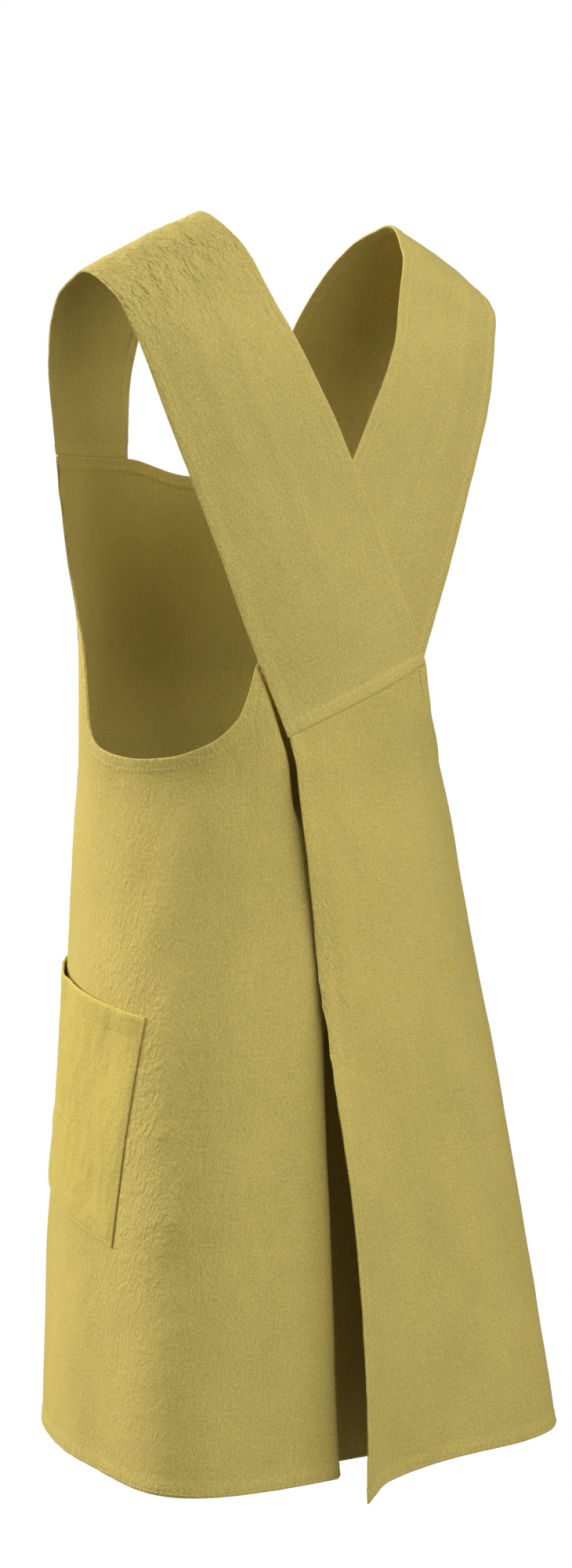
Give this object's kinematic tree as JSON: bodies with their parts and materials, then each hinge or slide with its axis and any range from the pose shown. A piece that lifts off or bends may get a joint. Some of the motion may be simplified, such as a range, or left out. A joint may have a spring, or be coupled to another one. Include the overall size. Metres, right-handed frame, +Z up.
{
  "type": "cross back apron",
  "caption": "Worn cross back apron of plain woven cloth with wide crossing shoulder straps, overlapping back panels and side patch pockets.",
  "frame": {"origin": "middle of the shoulders, at the height where the straps rest on them", "axes": "+Z up, +X to the wearer's left, the wearer faces -Y"},
  "size_m": [0.364, 0.3759, 0.8947],
  "materials": {
    "body_cloth": "matte mustard linen and cotton cloth, fine weave",
    "strap_cloth": "matte mustard linen and cotton cloth, doubled",
    "pocket_cloth": "matte mustard linen and cotton cloth"
  },
  "bodies": {
    "root": {"apron_body": "body_cloth", "left_strap": "strap_cloth", "right_strap": "strap_cloth", "left_pocket": "pocket_cloth", "right_pocket": "pocket_cloth"}
  },
  "joints": []
}
